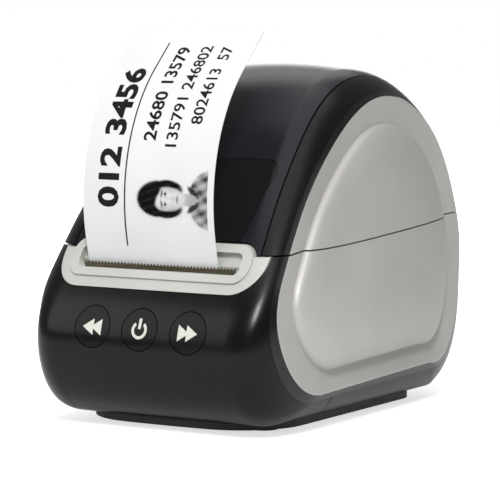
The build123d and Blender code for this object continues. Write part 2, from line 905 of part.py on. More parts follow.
def drive_motor():
    end = cheek_inner_x - 0.1
    can = rod_x(motor_radius, end - motor_length, end - 1.2, motor_y, motor_z)
    flange = rod_x(motor_radius, end - 1.4, end, motor_y, motor_z)
    reach = motor_radius + 3.5
    flange += block(end - 1.2, end, motor_y - reach, motor_y + reach, motor_z - 4, motor_z + 4)
    bore = rod_x(motor_shaft_radius + 0.05, end - 8, far, motor_y, motor_z)
    return can + flange - bore


def motor_pinion():
    shaft_start = cheek_inner_x - 7
    shaft_end = cheek_outer_x + gear_gap + gear_width + 0.6
    shaft = rod_x(motor_shaft_radius, shaft_start, shaft_end, motor_y, motor_z)
    return place_gear(pinion_teeth, pinion_phase, motor_y, motor_z, motor_shaft_radius / 2) + shaft


# Thermal head, on the front side of the nip
head_y = platen_y + exit_normal[0] * (platen_radius + web_gap + label_thickness)
head_z = platen_z + exit_normal[1] * (platen_radius + web_gap + label_thickness)
head_plane = Plane(
    origin=(0, head_y, head_z),
    x_dir=(1, 0, 0),
    z_dir=(0, exit_normal[0], exit_normal[1]),
)
element_start = 0.1
sink_start = element_start + element_thickness


def head_slab(width, low, high, start, depth):
    # low and high run along the paper, start and depth away from the platen
    middle = (high + low) / 2
    slab = Pos(0, middle, start + depth / 2) * Box(width, high - low, depth)
    return head_plane * slab


def thermal_element():
    return head_slab(head_length, -3.6, 3.2, element_start, element_thickness)


def print_head():
    sink = head_slab(head_length, -head_below_nip, head_above_nip, sink_start, sink_thickness)
    for fin in range(fin_count):
        x = -head_length / 2 + fin * (head_length - 1.2) / (fin_count - 1)
        slab = head_slab(1.2, -head_below_nip, head_above_nip, sink_start, sink_thickness + fin_height)
        sink = sink + Pos(x + 0.6, 0, 0) * slab
    ear = head_slab(2 * (cheek_inner_x - 0.2), -head_below_nip, -4.5, sink_start, sink_thickness)
    return sink + ear


# Buttons
def button(place):
    x = place * button_spacing
    cap = rod_y(button_radius, -far, button_back_y, x, button_z) & outer_form
    stem = rod_y(button_stem_radius, button_back_y, button_stem_end_y, x, button_z)
    return cap + stem


def button_switches():
    switches = []
    for place in (-1, 0, 1):
        x = place * button_spacing
        body = block(x - 3, x + 3, switch_y + 0.8, switch_y + switch_depth, button_z - 3, button_z + 3)
        switches.append(body + rod_y(1.6, switch_y, switch_y + 1.0, x, button_z))
    return Compound(children=switches)


def button_board():
    half = button_board_half
    return block(-half, half, button_board_y, button_board_y + board_thickness, 27, button_z + 3.6)


# Main board and sockets
def main_board():
    board = block(-board_half_width, board_half_width, board_front_y, board_rear_y, board_z, board_z + board_thickness)
    return board


def board_parts():
    top = board_z + board_thickness + 0.05
    chip = block(-8, 8, 4, 20, top, top + 1.6)
    driver = block(14, 24, 6, 12, top, top + 1.6)
    capacitor = rod_z(4, top, top + 12, -22, 30)
    plug = block(-12, 12, board_front_y + 2, board_front_y + 7, top, top + 6)
    return Compound(children=[chip, driver, capacitor, plug])


def dc_inlet():
    bottom = board_z + board_thickness + 0.05
    half = socket_width / 2
    front = bay_plate_y + bay_plate
    body = block(inlet_x - half, inlet_x + half, front - 13, front, bottom, bottom + socket_height)
    mouth_z = bottom + socket_height / 2 + 0.5
    body = body - rod_y(3.2, front - 9, front + 1, inlet_x, mouth_z)
    return body + rod_y(1.0, front - 10, front - 1, inlet_x, mouth_z)


def data_port():
    bottom = board_z + board_thickness + 0.05
    half = socket_width / 2
    front = bay_plate_y + bay_plate
    body = block(port_x - half, port_x + half, front - 16, front, bottom, bottom + socket_height)
    middle = bottom + socket_height / 2
    opening = Rectangle(2 * half - 1.6, socket_height - 1.6)
    opening = chamfer(opening.vertices().group_by(Axis.Y)[-1], 1.6)
    plane = Plane(origin=(port_x, front + 1, middle), x_dir=(1, 0, 0), z_dir=(0, -1, 0))
    body = body - extrude(plane * opening, 11)
    return body + block(port_x - 2.8, port_x + 2.8, front - 11, front - 1.5, middle - 1.6, middle + 1.6)


def gap_sensor():
    points = ramp_points()
    slope = atan2(points[2][1] - points[3][1], points[2][0] - points[3][0])
    y = -30.0
    z = points[3][1] + (y - points[3][0]) * tan(slope) - 0.1
    return block(-4, 4, y - 3, y + 3, z - 5, z - 0.6)


save(cover_centre(), "cover_centre")
save(cover_window(), "cover_window")
right_arc = cover_side()
save(right_arc, "cover_side_right")
save(mirror_x(right_arc), "cover_side_left")
upper_trim = whole_panel & above_split
save(upper_trim, "upper_trim_right")
save(mirror_x(upper_trim), "upper_trim_left")
lower_trim = whole_panel - not_below
save(lower_trim, "lower_trim_right")
save(mirror_x(lower_trim), "lower_trim_left")
save(front_panel(), "front_panel")
save(base_housing(), "base_housing")
save(bottom_tray(), "bottom_tray")
save(rubber_feet(), "rubber_feet")
save(tray_screws(), "tray_screws")
save(hinge_pins(), "hinge_pins")
save(exit_bezel(), "exit_bezel")
save(tear_bar(), "tear_bar")
save(label_strip(), "label_strip")
save(label_roll(), "label_roll")
save(label_core(), "label_core")
save(spool_spindle(), "spool_spindle")
save(guide_flange(), "guide_flange")
save(roll_cradle(), "roll_cradle")
save(platen_roller(), "platen_roller")
save(platen_shaft(), "platen_shaft")
save(place_gear(platen_teeth, platen_phase, platen_y, platen_z, platen_shaft_radius), "platen_gear")
save(place_gear(idler_teeth, idler_phase, idler_y, idler_z, idler_pin_radius + 0.05), "idler_gear")
save(motor_pinion(), "motor_pinion")
save(drive_motor(), "drive_motor")
save(platen_bushings(), "platen_bushings")
save(print_head(), "print_head")
save(thermal_element(), "thermal_element")
save(button(-1), "reverse_button")
save(button(0), "power_button")
save(button(1), "forward_button")
save(button_switches(), "button_switches")
save(button_board(), "button_board")
save(main_board(), "main_board")
save(board_parts(), "board_parts")
save(dc_inlet(), "dc_inlet")
save(data_port(), "data_port")
save(gap_sensor(), "gap_sensor")
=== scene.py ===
import math

import bpy
from mathutils import Matrix, Vector
from mathutils.bvhtree import BVHTree


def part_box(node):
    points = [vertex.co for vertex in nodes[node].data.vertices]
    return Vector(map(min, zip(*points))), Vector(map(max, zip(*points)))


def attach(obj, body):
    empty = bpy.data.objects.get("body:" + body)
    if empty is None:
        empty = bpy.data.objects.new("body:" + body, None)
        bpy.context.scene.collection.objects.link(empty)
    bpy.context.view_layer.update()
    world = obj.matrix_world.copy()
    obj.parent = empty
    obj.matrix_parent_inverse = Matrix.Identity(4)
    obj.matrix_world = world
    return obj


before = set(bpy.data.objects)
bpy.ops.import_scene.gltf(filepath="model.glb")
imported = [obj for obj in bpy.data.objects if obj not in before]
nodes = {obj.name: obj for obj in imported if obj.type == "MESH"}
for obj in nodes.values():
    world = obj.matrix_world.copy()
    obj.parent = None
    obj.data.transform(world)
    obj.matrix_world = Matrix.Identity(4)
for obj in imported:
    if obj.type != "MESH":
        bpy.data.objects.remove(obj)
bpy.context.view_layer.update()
mm = 0.001
sides = (-1, 1)


class Wire:
    # a shader socket that can be used in sums
    def __init__(self, graph, socket):
        self.graph = graph
        self.socket = socket

    def __add__(self, other):
        return self.graph.maths("ADD", self, other)

    def __sub__(self, other):
        return self.graph.maths("SUBTRACT", self, other)

    def __rsub__(self, other):
        return self.graph.maths("SUBTRACT", other, self)

    def __mul__(self, other):
        return self.graph.maths("MULTIPLY", self, other)

    def __pow__(self, other):
        return self.graph.maths("POWER", self, other)

    def __gt__(self, other):
        return self.graph.maths("GREATER_THAN", self, other)

    def __abs__(self):
        return self.graph.maths("ABSOLUTE", self)


class Graph:
    # the node tree of a material or of the world
    def __init__(self, owner, outputKind):
        owner.use_nodes = True
        self.tree = owner.node_tree
        self.tree.nodes.clear()
        self.out = self.tree.nodes.new(outputKind)

    def node(self, kind, settings=None, sockets=None, out=0):
        made = self.tree.nodes.new(kind)
        for key, value in (settings or {}).items():
            setattr(made, key, value)
        for key, value in (sockets or {}).items():
            if isinstance(value, Wire):
                self.tree.links.new(value.socket, made.inputs[key])
            else:
                made.inputs[key].default_value = value
        if isinstance(out, tuple):
            return [Wire(self, made.outputs[one]) for one in out]
        return Wire(self, made.outputs[out])

    def maths(self, operation, first, second=0.0):
        return self.node("ShaderNodeMath", {"operation": operation}, {0: first, 1: second})

    def end(self, shader):
        self.tree.links.new(shader.socket, self.out.inputs["Surface"])


class Finish(Graph):
    # one material, its patterns laid in the piece's own coordinates
    def __init__(self, name):
        self.material = bpy.data.materials.new(name)
        super().__init__(self.material, "ShaderNodeOutputMaterial")
        self.place = self.node("ShaderNodeTexCoord", out="Object")

    def axes(self, kind="Object"):
        source = self.node("ShaderNodeTexCoord", out=kind)
        return self.node("ShaderNodeSeparateXYZ", None, {0: source}, out=(0, 1, 2))

    def scaled(self, x, y, z):
        return self.node("ShaderNodeMapping", None, {"Vector": self.place, "Scale": (x, y, z)})

    def noise(self, scale, detail=3.0, roughness=0.5, where=None):
        return self.node("ShaderNodeTexNoise", None, {
            "Vector": where or self.place, "Scale": scale, "Detail": detail, "Roughness": roughness})

    def cells(self, scale, out):
        return self.node("ShaderNodeTexVoronoi", None, {"Vector": self.place, "Scale": scale}, out=out)

    def channel(self, colour):
        return self.node("ShaderNodeSeparateColor", None, {0: colour})

    def blend(self, factor, first, second):
        return self.node("ShaderNodeMix", {"data_type": "RGBA"}, {0: factor, 6: first, 7: second}, out=2)

    def span(self, value, low, high, start=0.0, end=1.0):
        return self.node("ShaderNodeMapRange", None, {0: value, 1: low, 2: high, 3: start, 4: end})

    def drift(self, noise, start=0.0, end=1.0, width=0.4):
        # a noise stays near its middle, so the part round it is spread out
        return self.span(noise, 0.5 - width / 2, 0.5 + width / 2, start, end)

    def bump(self, height, strength, distance):
        sockets = {"Height": height, "Strength": strength, "Distance": distance}
        return self.node("ShaderNodeBump", None, sockets)

    def surface(self, **values):
        sockets = {key.replace("_", " "): value for key, value in values.items()}
        self.end(self.node("ShaderNodeBsdfPrincipled", None, sockets))
        return self.material


def grey(level):
    return (level, level, level, 1.0)


def clearSelection():
    if bpy.context.object and bpy.context.object.mode != "OBJECT":
        bpy.ops.object.mode_set(mode="OBJECT")
    bpy.ops.object.select_all(action="DESELECT")


def only(piece):
    clearSelection()
    piece.select_set(True)
    bpy.context.view_layer.objects.active = piece


def settle(piece):
    only(piece)
    bpy.ops.object.transform_apply(location=True, rotation=True, scale=True)


def dress(piece, material):
    piece.data.materials.clear()
    piece.data.materials.append(material)


def paint(names, material):
    for name in names:
        dress(nodes[name], material)


def glossMoulding(name, setting):
    # smooth moulded plastic with faint handling marks, in tones a little round the given one
    darker, lighter, cleaner, duller = 0.8, 1.25, 0.03, 0.05
    f = Finish(name)
    smear = f.noise(setting["smearScale"], detail=4.0, roughness=0.55)
    speck = f.noise(setting["speckScale"], detail=2.0, roughness=0.6)
    low, high = (tuple(part * share for part in setting["tone"]) + (1.0,) for share in (darker, lighter))
    rough = f.drift(smear, setting["gloss"] - cleaner, setting["gloss"] + duller)
    return f.surface(Base_Color=f.blend(smear, low, high), Roughness=rough,
                     Specular_IOR_Level=setting["shine"],
                     Normal=f.bump(speck, strength=0.05, distance=0.06 * mm))


def silverPaint():
    # metallic paint on the side faces; the rounded edge round them stays black like the shell
    setting = {"light": (0.61, 0.60, 0.575, 1), "dark": (0.52, 0.51, 0.485, 1), "driftScale": 14.0,
               "fleck": (0.66, 0.65, 0.62, 1), "fleckScale": 2600, "fleckShare": 0.16,
               "metal": 0.35, "smooth": 0.46, "dull": 0.58,
               "edgeTone": (0.003, 0.003, 0.003, 1), "edgeGloss": 0.28}
    # the flat face lies at this x and leans in with height; on the rounded edge the surface turns
    # away from the middle, steeply except along the front
    face = {"x": 54.45 * mm, "lean": 0.095, "leanFrom": 37.0 * mm, "middleY": 5.1 * mm, "middleZ": 65.0 * mm,
            "steep": 0.7, "outwards": 0.001, "frontY": -71.5 * mm, "frontFrom": 50.0 * mm, "frontSlope": 0.72}
    f = Finish("silverPaint")
    fleck = f.channel(f.cells(setting["fleckScale"], "Color"))
    base = f.blend(f.drift(f.noise(setting["driftScale"]), width=0.3), setting["dark"], setting["light"])
    painted = f.blend(fleck * setting["fleckShare"], base, setting["fleck"])
    x, y, z = f.axes()
    turnX, turnY, turnZ = f.axes("Normal")
    outwards = turnY * (y - face["middleY"]) + turnZ * (z - face["middleZ"]) > face["outwards"]
    below = face["x"] - (z - face["leanFrom"]) * face["lean"] > abs(x)
    front = (z - face["frontFrom"]) * face["frontSlope"] + face["frontY"] > y
    edge = outwards * below * ((abs(turnX) > face["steep"]) + front > 0.5)
    silvered = 1 - edge
    rough = f.span(fleck, 0.0, 1.0, setting["smooth"], setting["dull"])
    return f.surface(Base_Color=f.blend(edge, painted, setting["edgeTone"]),
                     Roughness=rough * silvered + edge * setting["edgeGloss"],
                     Metallic=silvered * setting["metal"],
                     Normal=f.bump(fleck * silvered, strength=0.04, distance=0.05 * mm))


def mattMoulding(name, low, high, rough, grainScale=1500.0, depth=0.12 * mm):
    # fine eroded grain, its colour drifting slowly over the piece
    smoother, duller, driftScale = 0.06, 0.08, 25.0
    f = Finish(name)
    grain = f.noise(grainScale, roughness=0.6)
    return f.surface(Base_Color=f.blend(f.drift(f.noise(driftScale)), low, high),
                     Roughness=f.drift(grain, rough - smoother, rough + duller, width=0.6),
                     Normal=f.bump(grain, strength=0.25, distance=depth))


def smokedPane():
    setting = {"low": (0.035, 0.045, 0.04, 1), "high": (0.05, 0.06, 0.055, 1), "smooth": 0.05, "dull": 0.13,
               "clear": 0.85, "bend": 1.28, "smearScale": 22.0}
    f = Finish("smokedPane")
    smear = f.noise(setting["smearScale"], detail=4.0)
    return f.surface(Base_Color=f.blend(smear, setting["low"], setting["high"]),
                     Roughness=f.drift(smear, setting["smooth"], setting["dull"]),
                     Transmission_Weight=setting["clear"], IOR=setting["bend"])


def labelPaper():
    setting = {"low": (0.82, 0.822, 0.832, 1), "high": (0.86, 0.862, 0.87, 1), "fibreScale": 900.0,
               "driftScale": 40.0, "smooth": 0.5, "dull": 0.62}
    f = Finish("labelPaper")
    fibre = f.noise(setting["fibreScale"], detail=4.0, roughness=0.65)
    drift = f.drift(f.noise(setting["driftScale"], detail=2.0))
    return f.surface(Base_Color=f.blend(drift, setting["low"], setting["high"]),
                     Roughness=f.drift(fibre, setting["smooth"], setting["dull"]),
                     Normal=f.bump(fibre, strength=0.08, distance=0.05 * mm))


rollLow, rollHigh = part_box("label_roll")
rollY = (rollLow.y + rollHigh.y) / 2
rollZ = (rollLow.z + rollHigh.z) / 2


def fromRollAxis(f):
    # along the roll's axis, and the two distances from it
    x, y, z = f.axes()
    return x, y - rollY, z - rollZ


def woundPaper():
    setting = {"turns": 9000.0, "wobble": 3.0, "wobbleScale": 60.0, "edge": (0.62, 0.62, 0.60, 1),
               "paper": (0.83, 0.83, 0.82, 1), "fresh": (0.88, 0.88, 0.87, 1), "freshShare": 0.35,
               "wornScale": 300.0}
    f = Finish("woundPaper")
    across, up = fromRollAxis(f)[1:]
    reach = (across * across + up * up) ** 0.5
    wave = reach * setting["turns"] + f.noise(setting["wobbleScale"], detail=2.0) * setting["wobble"]
    turn = f.span(f.maths("SINE", wave), -1.0, 1.0)
    worn = f.drift(f.noise(setting["wornScale"], roughness=0.6), 0.0, setting["freshShare"], width=0.3)
    colour = f.blend(worn, f.blend(turn, setting["edge"], setting["paper"]), setting["fresh"])
    return f.surface(Base_Color=colour, Roughness=0.7, Normal=f.bump(turn, strength=0.25, distance=0.1 * mm))


def woundCard():
    setting = {"low": (0.33, 0.235, 0.14, 1), "high": (0.47, 0.35, 0.22, 1), "lap": (0.2, 0.14, 0.09, 1),
               "lapPitch": 210.0, "lapFrom": 0.985, "fibreScale": 500.0}
    f = Finish("woundCard")
    along, across, up = fromRollAxis(f)
    lap = f.maths("SINE", f.maths("ARCTAN2", up, across) + along * setting["lapPitch"])
    fibre = f.noise(setting["fibreScale"], detail=4.0, roughness=0.6)
    shade = f.blend(f.drift(fibre), setting["low"], setting["high"])
    return f.surface(Base_Color=f.blend(lap > setting["lapFrom"], shade, setting["lap"]), Roughness=0.82,
                     Normal=f.bump(fibre, strength=0.25, distance=0.1 * mm))


def drawnMetal(name, low, high, rough, along=(40, 900, 900)):
    # fine streaks along the axis with the small scale
    smoother, duller = 0.07, 0.1
    f = Finish(name)
    streak = f.noise(1.0, detail=4.0, roughness=0.6, where=f.scaled(*along))
    return f.surface(Base_Color=f.blend(f.drift(streak), low, high), Metallic=1.0,
                     Roughness=f.drift(streak, rough - smoother, rough + duller, width=0.5),
                     Normal=f.bump(streak, strength=0.12, distance=0.04 * mm))


def solderMask():
    setting = {"bare": (0.008, 0.075, 0.03, 1), "track": (0.02, 0.15, 0.065, 1), "trackScale": 160.0,
               "trackWidth": 0.03, "strayScale": 90.0, "strayFrom": 0.47, "dull": 0.38, "smooth": 0.28}
    f = Finish("solderMask")
    line = f.node("ShaderNodeTexBrick", {"offset": 0.5}, {
        "Vector": f.place, "Scale": setting["trackScale"], "Mortar Size": setting["trackWidth"],
        "Color1": grey(0), "Color2": grey(0), "Mortar": grey(1)})
    track = f.channel(line) * (f.noise(setting["strayScale"], detail=2.0) > setting["strayFrom"])
    return f.surface(Base_Color=f.blend(track, setting["bare"], setting["track"]),
                     Roughness=f.span(track, 0.0, 1.0, setting["dull"], setting["smooth"]),
                     Normal=f.bump(track, strength=0.3, distance=0.03 * mm))


def groundRubber(name, along):
    setting = {"low": grey(0.016), "high": grey(0.032), "smooth": 0.62, "dull": 0.8}
    f = Finish(name)
    grind = f.noise(1.0, roughness=0.6, where=f.scaled(*along))
    return f.surface(Base_Color=f.blend(f.drift(grind), setting["low"], setting["high"]),
                     Roughness=f.drift(grind, setting["smooth"], setting["dull"], width=0.6),
                     Normal=f.bump(grind, strength=0.3, distance=0.08 * mm))


def plainGloss(name, low, high, scale, smooth, dull, shine=0.5):
    # print or glaze: two near tones and a drifting roughness
    f = Finish(name)
    drift = f.noise(scale, roughness=0.6)
    return f.surface(Base_Color=f.blend(f.drift(drift), low, high), Roughness=f.drift(drift, smooth, dull),
                     Specular_IOR_Level=shine)


blackShell = glossMoulding("blackShell", {"tone": (0.0030, 0.0029, 0.0027), "gloss": 0.23, "shine": 0.27,
                                          "smearScale": 18, "speckScale": 1100})
blackLid = glossMoulding("blackLid", {"tone": (0.0072, 0.0075, 0.0125), "gloss": 0.26, "shine": 0.30,
                                      "smearScale": 14, "speckScale": 900})
blackCap = glossMoulding("blackCap", {"tone": (0.0032, 0.0030, 0.0030), "gloss": 0.24, "shine": 0.22,
                                      "smearScale": 60, "speckScale": 1600})
warmPlate = mattMoulding("warmPlate", (0.54, 0.54, 0.505, 1), (0.61, 0.61, 0.57, 1), 0.4, 1800.0, 0.08 * mm)
glazedBar = plainGloss("glazedBar", (0.62, 0.58, 0.5, 1), (0.7, 0.66, 0.58, 1), 200.0, 0.12, 0.2)
steel = drawnMetal("turnedSteel", grey(0.46), grey(0.62), 0.3)
brass = drawnMetal("turnedBrass", (0.52, 0.36, 0.13, 1), (0.7, 0.5, 0.2, 1), 0.28)
aluminium = drawnMetal("drawnAluminium", grey(0.55), grey(0.7), 0.35, (900, 40, 900))
tearMetal = drawnMetal("tearMetal", (0.065, 0.056, 0.032, 1), (0.15, 0.132, 0.085, 1), 0.34)
naturalGear = mattMoulding("naturalGear", (0.66, 0.64, 0.57, 1), (0.76, 0.745, 0.68, 1), 0.4)

# the housing
paint(["cover_centre"], blackLid)
paint(["cover_side_left", "cover_side_right", "front_panel", "base_housing"], blackShell)
paint(["cover_window"], smokedPane())
paint(["upper_trim_left", "upper_trim_right", "lower_trim_left", "lower_trim_right"], silverPaint())
paint(["exit_bezel"], warmPlate)
paint(["bottom_tray"], mattMoulding("trayPlastic", grey(0.008), grey(0.014), 0.55, 900.0, 0.2 * mm))
paint(["rubber_feet"], groundRubber("footRubber", (500, 500, 500)))
paint(["tray_screws", "hinge_pins"], steel)
paint(["tear_bar"], tearMetal)
paint(["reverse_button", "power_button", "forward_button"], blackCap)
# the labels and their spool
paint(["label_strip"], labelPaper())
paint(["label_roll"], woundPaper())
paint(["label_core"], woundCard())
paint(["spool_spindle", "guide_flange"], mattMoulding("spoolPlastic", grey(0.035), grey(0.055), 0.45))
# the printing unit and the electrics
paint(["roll_cradle"], mattMoulding("darkPlastic", grey(0.018), grey(0.03), 0.5))
paint(["platen_roller"], groundRubber("platenRubber", (1500, 60, 60)))
paint(["platen_shaft", "drive_motor", "data_port"], steel)
paint(["platen_gear", "idler_gear", "platen_bushings"], naturalGear)
paint(["motor_pinion"], brass)
paint(["print_head"], aluminium)
paint(["thermal_element"], glazedBar)
paint(["button_switches", "board_parts", "dc_inlet", "gap_sensor"],
      mattMoulding("partBlack", grey(0.012), grey(0.02), 0.42))
paint(["button_board", "main_board"], solderMask())
print("finishes ready")


def cutFine(piece, cuts):
    # triangles small enough to follow a curved face
    only(piece)
    bpy.ops.object.mode_set(mode="EDIT")
    bpy.ops.mesh.select_all(action="SELECT")
    bpy.ops.mesh.remove_doubles(threshold=0.001 * mm)
    bpy.ops.mesh.quads_convert_to_tris()
    bpy.ops.mesh.subdivide(number_cuts=cuts)
    bpy.ops.object.mode_set(mode="OBJECT")


def thicken(piece, depth):
    only(piece)
    wall = piece.modifiers.new("wall", "SOLIDIFY")
    wall.thickness = depth
    wall.offset = 0.0
    bpy.ops.object.modifier_apply(modifier=wall.name)
    bpy.ops.object.mode_set(mode="EDIT")
    bpy.ops.mesh.select_all(action="SELECT")
    bpy.ops.mesh.normals_make_consistent(inside=False)
    bpy.ops.object.mode_set(mode="OBJECT")


def pressOn(piece, surface, lift):
    # lays a flat outline on the curved face behind it
    tree = BVHTree.FromObject(nodes[surface], bpy.context.evaluated_depsgraph_get())
    inwards = Vector((0, 1, 0))
    for vertex in piece.data.vertices:
        hit = tree.ray_cast(vertex.co - inwards * 50 * mm, inwards)[0]
        if hit:
            vertex.co = hit - inwards * lift
    piece.data.update()


# in millimetres on the button's front, the gap in degrees
symbolSetting = {"ahead": 10, "lift": 0.07, "depth": 0.06, "cuts": 5, "arrowTall": 6.2, "arrowLong": 4.8,
                 "arrowStep": 3.7, "ring": 2.85, "band": 1.15, "gap": 78.0, "ringSteps": 36,
                 "barWide": 1.2, "barTop": 4.3, "barFoot": 0.4}


def arrow(side, step):
    # one triangle with its tip to the side
    s = symbolSetting
    clearSelection()
    bpy.ops.mesh.primitive_circle_add(vertices=3, radius=1, fill_type="NGON", rotation=(math.pi / 2, 0, 0))
    piece = bpy.context.object
    settle(piece)
    for vertex in piece.data.vertices:
        # the ring of three has its first corner 1 up, the others 0.5 down; the first becomes the tip
        along = (vertex.co.z + 0.5) / 1.5 - 0.5
        spread = vertex.co.x / math.sqrt(3)
        x = side * along * s["arrowLong"] + step * s["arrowStep"]
        vertex.co = Vector((x, 0, spread * s["arrowTall"])) * mm
    return piece


def doubleArrow(side):
    return [arrow(side, -0.5), arrow(side, 0.5)]


def powerSign():
    # an upright bar in an open ring
    s = symbolSetting
    clearSelection()
    bpy.ops.mesh.primitive_plane_add(size=1, rotation=(math.pi / 2, 0, 0))
    bar = bpy.context.object
    bar.scale = (s["barWide"] * mm, (s["barTop"] - s["barFoot"]) * mm, 1)
    bar.location = (0, 0, (s["barTop"] + s["barFoot"]) / 2 * mm)
    settle(bar)
    clearSelection()
    bpy.ops.mesh.primitive_plane_add(size=1, rotation=(math.pi / 2, 0, 0))
    ring = bpy.context.object
    settle(ring)
    start = math.radians(90 - s["gap"] / 2)
    for vertex in ring.data.vertices:
        # both ends of the plane fall on the line where the ring starts
        reach = (s["ring"] + vertex.co.x * s["band"]) * mm
        vertex.co = (reach * math.cos(start), 0, reach * math.sin(start))
    only(ring)
    bpy.ops.object.mode_set(mode="EDIT")
    bpy.ops.mesh.select_all(action="SELECT")
    bpy.ops.mesh.remove_doubles(threshold=0.001 * mm)
    bpy.ops.mesh.select_mode(type="EDGE")
    bpy.ops.mesh.select_all(action="SELECT")
    turn = math.radians(360 - s["gap"])
    bpy.ops.mesh.spin(steps=s["ringSteps"], angle=turn, center=(0, 0, 0), axis=(0, -1, 0))
    bpy.ops.object.mode_set(mode="OBJECT")
    return [bar, ring]


def putOnButton(parts, word):
    s = symbolSetting
    button = word + "_button"
    low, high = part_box(button)
    clearSelection()
    for part in parts:
        part.select_set(True)
    bpy.context.view_layer.objects.active = parts[0]
    bpy.ops.object.join()
    sign = bpy.context.object
    sign.name = word + "_symbol"
    sign.location = ((low.x + high.x) / 2, low.y - s["ahead"] * mm, (low.z + high.z) / 2)
    settle(sign)
    cutFine(sign, s["cuts"])
    pressOn(sign, button, s["lift"] * mm)
    thicken(sign, s["depth"] * mm)
    dress(sign, whitePrint)
    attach(sign, button)


whitePrint = plainGloss("whitePrint", (0.70, 0.69, 0.62, 1), (0.80, 0.79, 0.72, 1), 1200.0, 0.42, 0.55)
putOnButton(doubleArrow(-1), "reverse")
putOnButton(powerSign(), "power")
putOnButton(doubleArrow(1), "forward")
print("button symbols ready")


# the strip's path in millimetres: its heading at the slot, then a turn round its middle
labelPath = {"heading": 103.0, "radius": 68.0, "turn": 60.0, "middle": (-11.611, 89.297),
             "half": 0.15, "lift": 0.05}


def onLabel(across, up):
    # a point just over the face of the strip, up from the slot's edge
    p = labelPath
    reach = p["radius"] + p["half"] + p["lift"]
    heading = math.radians(p["heading"])
    arc = p["radius"] * math.radians(p["turn"])
    before, past = min(0.0, up), max(0.0, up - arc)
    angle = heading + math.pi / 2 - min(max(up, 0.0), arc) / p["radius"]
    straight = heading if up < 0 else heading - math.radians(p["turn"])
    y = p["middle"][0] + reach * math.cos(angle) + (before + past) * math.cos(straight)
    z = p["middle"][1] + reach * math.sin(angle) + (before + past) * math.sin(straight)
    return Vector((across, y, z)) * mm


def layOnLabel(piece):
    # flat print is drawn in millimetres, x across the strip and y up it
    for vertex in piece.data.vertices:
        vertex.co = onLabel(vertex.co.x, vertex.co.y)
    piece.data.update()


ink = plainGloss("printedInk", grey(0.004), grey(0.014), 1400.0, 0.55, 0.65, 0.15)
inkSetting = {"depth": 0.03, "size": 12, "smooth": 3, "cuts": 2}
# a row reads up the strip: its foot is across the strip, its start and end along it
printLines = {
    "headline": {"text": "012 3456", "weight": 0.42, "tall": 9.9, "foot": -17.4, "along": (12.0, 71.2)},
    "firstLine": {"text": "24680 13579", "weight": 0.24, "tall": 5.8, "foot": -3.0, "along": (38.4, 83.4)},
    "secondLine": {"text": "135791 246802", "weight": 0.15, "tall": 5.2, "foot": 6.7, "along": (36.2, 84.2)},
    "thirdLine": {"text": "8024613  57", "weight": 0.15, "tall": 5.2, "foot": 16.0, "along": (45.6, 84.0)},
}


def printOn(piece):
    layOnLabel(piece)
    thicken(piece, inkSetting["depth"] * mm)
    dress(piece, ink)
    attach(piece, "base")


def figures(name, line):
    clearSelection()
    bpy.ops.object.text_add(location=(0, 0, 0))
    row = bpy.context.object
    row.name = name
    row.data.body = line["text"]
    row.data.size = inkSetting["size"]
    row.data.offset = line["weight"]
    row.data.resolution_u = inkSetting["smooth"]
    bpy.ops.object.convert(target="MESH")
    row = bpy.context.object
    left, right = (pick(vertex.co.x for vertex in row.data.vertices) for pick in (min, max))
    foot, head = (pick(vertex.co.y for vertex in row.data.vertices) for pick in (min, max))
    start, end = line["along"]
    for vertex in row.data.vertices:
        run = (vertex.co.x - left) / (right - left)
        rise = (vertex.co.y - foot) / (head - foot)
        vertex.co = (line["foot"] - rise * line["tall"], start + run * (end - start), 0)
    cutFine(row, inkSetting["cuts"])
    printOn(row)


def labelRule():
    setting = {"across": -14.7, "wide": 0.6, "start": -3.0, "end": 86.0, "steps": 60}
    clearSelection()
    bpy.ops.mesh.primitive_grid_add(x_subdivisions=1, y_subdivisions=setting["steps"], size=1)
    rule = bpy.context.object
    rule.name = "labelRule"
    length = setting["end"] - setting["start"]
    for vertex in rule.data.vertices:
        vertex.co = (setting["across"] + vertex.co.x * setting["wide"],
                     setting["start"] + (vertex.co.y + 0.5) * length, 0)
    printOn(rule)


for name, line in printLines.items():
    figures(name, line)
labelRule()
print("label print ready")


